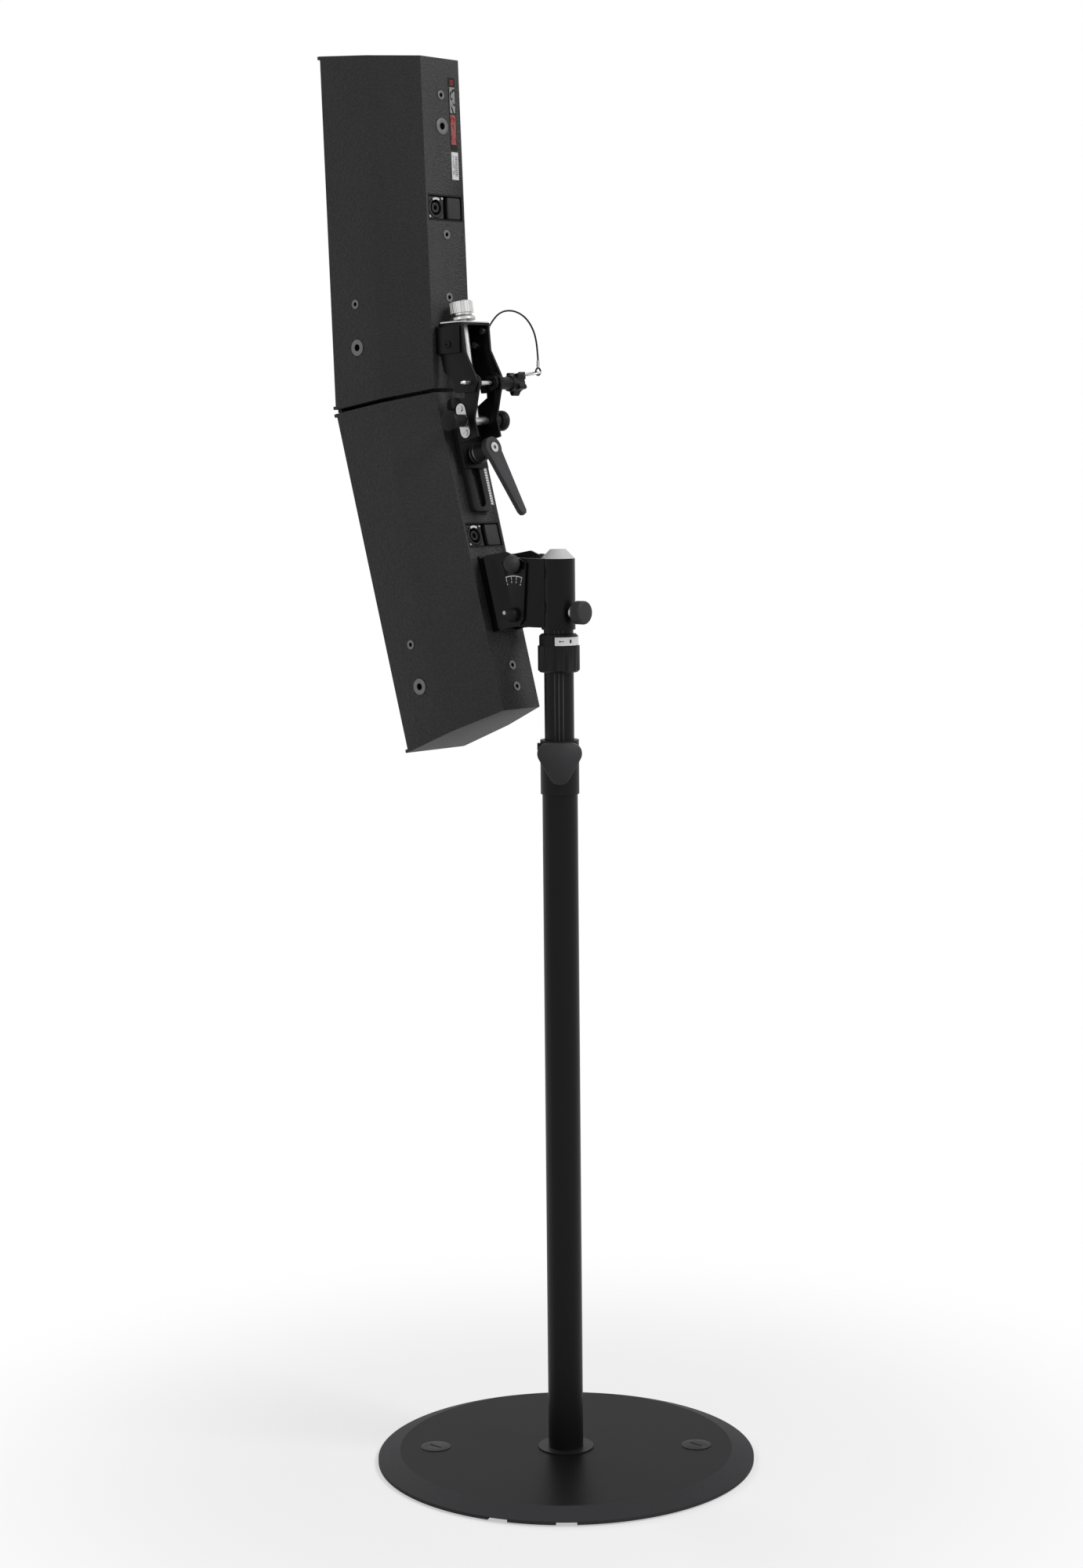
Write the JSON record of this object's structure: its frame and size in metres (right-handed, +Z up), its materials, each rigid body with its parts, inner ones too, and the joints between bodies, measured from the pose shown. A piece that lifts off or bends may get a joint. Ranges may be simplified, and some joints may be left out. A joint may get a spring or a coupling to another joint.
{
  "type": "pa speaker",
  "caption": "Wedge-shaped column loudspeakers stacked with adjustable splay on a height-adjustable pole with a round weighted base.",
  "frame": {"origin": "centre of the stand underside, on the pole axis, where the base rests on the floor", "axes": "+Z up along the pole; the grilles face -Y; +X is the side of the height clamp knob"},
  "size_m": [0.455, 0.5626, 1.6908],
  "materials": {
    "cast_black": "textured black paint",
    "rubber": "matt",
    "black_tube": "satin black powder coat",
    "black_bracket": "satin black powder coat",
    "black_plastic": "fine matt grain",
    "grey_plastic": "matt light grey",
    "knob_plastic": "matt grained",
    "cabinet_paint": "orange-peel textured dark grey polyurea on plywood",
    "steel": "zinc plated",
    "bright_steel": "bright zinc",
    "dark_steel": "phosphated",
    "grille_steel": "perforated, satin black",
    "paper_cone": "coated paper",
    "board": "green board",
    "label_white": "printed film",
    "label_black": "printed film",
    "cord": "coated wire rope",
    "rail_steel": "brushed"
  },
  "bodies": {
    "stand": {"base_plate": "cast_black", "base_pad": "rubber", "base_plugs": "black_plastic", "pole_flange": "black_plastic", "pole_foot": "steel", "lower_tube": "black_tube", "clamp_sleeve": "black_plastic", "clamp_bush": "black_plastic"},
    "height_clamp": {"clamp_knob": "knob_plastic"},
    "pole": {"upper_tube": "black_tube", "end_bush": "black_plastic"},
    "collar": {"lock_collar": "black_plastic"},
    "bracket": {"bracket_socket": "black_bracket", "socket_cap": "grey_plastic", "bracket_arms": "black_bracket", "pivot_bolt": "black_plastic"},
    "thumb": {"thumb_screw": "steel", "thumb_knob": "knob_plastic"},
    "tilt_clamp_near": {"tilt_knob_near": "knob_plastic"},
    "tilt_clamp_far": {"tilt_knob_far": "knob_plastic"},
    "lower_cabinet": {"lower_crossover": "board", "lower_grille": "grille_steel", "lower_horn": "black_plastic", "lower_inserts": "dark_steel", "lower_outlet": "black_plastic", "lower_panel": "black_plastic", "lower_shell": "cabinet_paint", "lower_woofers": "paper_cone", "yoke": "black_bracket", "slide_rail": "rail_steel", "angle_scale": "label_white", "hinge_rod": "black_bracket"},
    "link": {"link_bracket": "black_bracket", "clamp_nut": "steel", "plunger_plates": "bright_steel"},
    "plunger_a": {"plunger_near": "black_plastic"},
    "plunger_b": {"plunger_far": "black_plastic"},
    "lever": {"lever_hub": "black_plastic", "clamp_lever": "knob_plastic", "lever_screw": "steel"},
    "rod": {"adjuster_rod": "bright_steel"},
    "nut": {"adjuster_nut": "bright_steel"},
    "upper_cabinet": {"upper_bracket": "black_bracket", "upper_crossover": "board", "upper_grille": "grille_steel", "upper_hanger": "black_bracket", "upper_horn": "black_plastic", "upper_inserts": "dark_steel", "upper_labels": "label_black", "upper_outlet": "black_plastic", "upper_panel": "black_plastic", "upper_shell": "cabinet_paint", "upper_woofers": "paper_cone", "washer_plate": "bright_steel", "hanger_screws": "steel", "lanyard": "cord"},
    "pin": {"release_pin": "bright_steel", "pin_knob": "black_plastic", "pin_ring": "bright_steel", "lanyard_eye": "steel"}
  },
  "joints": [
    {"name": "pole_height", "type": "slide", "parent": "stand", "child": "pole", "axis": [0, 0, 1], "range_m": [-0.075, 0.33]},
    {"name": "height_clamp_turn", "type": "hinge", "parent": "stand", "child": "height_clamp", "pos_m": [0, 0, 0.855], "axis": [0.7547, 0.6561, 0], "range_deg": [-180, 0]},
    {"name": "collar_turn", "type": "hinge", "parent": "pole", "child": "collar", "pos_m": [0, 0, 0.986], "axis": [0, 0, 1], "range_deg": [-90, 0]},
    {"name": "bracket_swivel", "type": "hinge", "parent": "pole", "child": "bracket", "pos_m": [0, 0, 1.006], "axis": [0, 0, 1], "continuous": true},
    {"name": "thumb_turn", "type": "hinge", "parent": "bracket", "child": "thumb", "pos_m": [0, 0.03, 1.0265], "axis": [0, 1, 0], "range_deg": [-180, 0]},
    {"name": "tilt_knob_near_turn", "type": "hinge", "parent": "bracket", "child": "tilt_clamp_near", "pos_m": [0.025, -0.0485, 1.0828], "axis": [1, 0, 0], "range_deg": [0, 180]},
    {"name": "tilt_knob_far_turn", "type": "hinge", "parent": "bracket", "child": "tilt_clamp_far", "pos_m": [-0.025, -0.0485, 1.0828], "axis": [-1, 0, 0], "range_deg": [0, 180]},
    {"name": "cabinet_tilt", "type": "hinge", "parent": "bracket", "child": "lower_cabinet", "pos_m": [0, -0.0485, 1.0228], "axis": [1, 0, 0], "range_deg": [-12, 12]},
    {"name": "link_slide", "type": "slide", "parent": "lower_cabinet", "child": "link", "axis": [0, -0.2672, 0.9636], "range_m": [0, 0.0425]},
    {"name": "lever_turn", "type": "hinge", "parent": "link", "child": "lever", "pos_m": [0, -0.11327, 1.21519], "axis": [0, 0.9636, 0.2672], "range_deg": [-80, 80]},
    {"name": "plunger_near_pull", "type": "slide", "parent": "link", "child": "plunger_a", "axis": [1, 0, 0], "range_m": [0, 0.0065], "stiffness_N_per_m": 1200, "springref_m": -0.004},
    {"name": "plunger_far_pull", "type": "slide", "parent": "link", "child": "plunger_b", "axis": [-1, 0, 0], "range_m": [0, 0.0065], "stiffness_N_per_m": 1200, "springref_m": -0.004},
    {"name": "rod_swing", "type": "hinge", "parent": "link", "child": "rod", "pos_m": [0, -0.12832, 1.25076], "axis": [1, 0, 0], "range_deg": [0, 7.84]},
    {"name": "nut_turn", "type": "hinge", "parent": "rod", "child": "nut", "pos_m": [0, -0.1461, 1.36615], "axis": [0, -0.1522, 0.9883], "continuous": true},
    {"name": "splay", "type": "hinge", "parent": "lower_cabinet", "child": "upper_cabinet", "pos_m": [0, -0.30966, 1.26476], "axis": [1, 0, 0], "range_deg": [0, 12]},
    {"name": "pin_pull", "type": "slide", "parent": "upper_cabinet", "child": "pin", "axis": [-1, 0, 0], "range_m": [0, 0.058]}
  ],
  "couplings": [
    {"joint": "link_slide", "follows": "splay", "m_per_rad": 0.19644},
    {"joint": "rod_swing", "follows": "splay", "ratio": 0.62815}
  ]
}
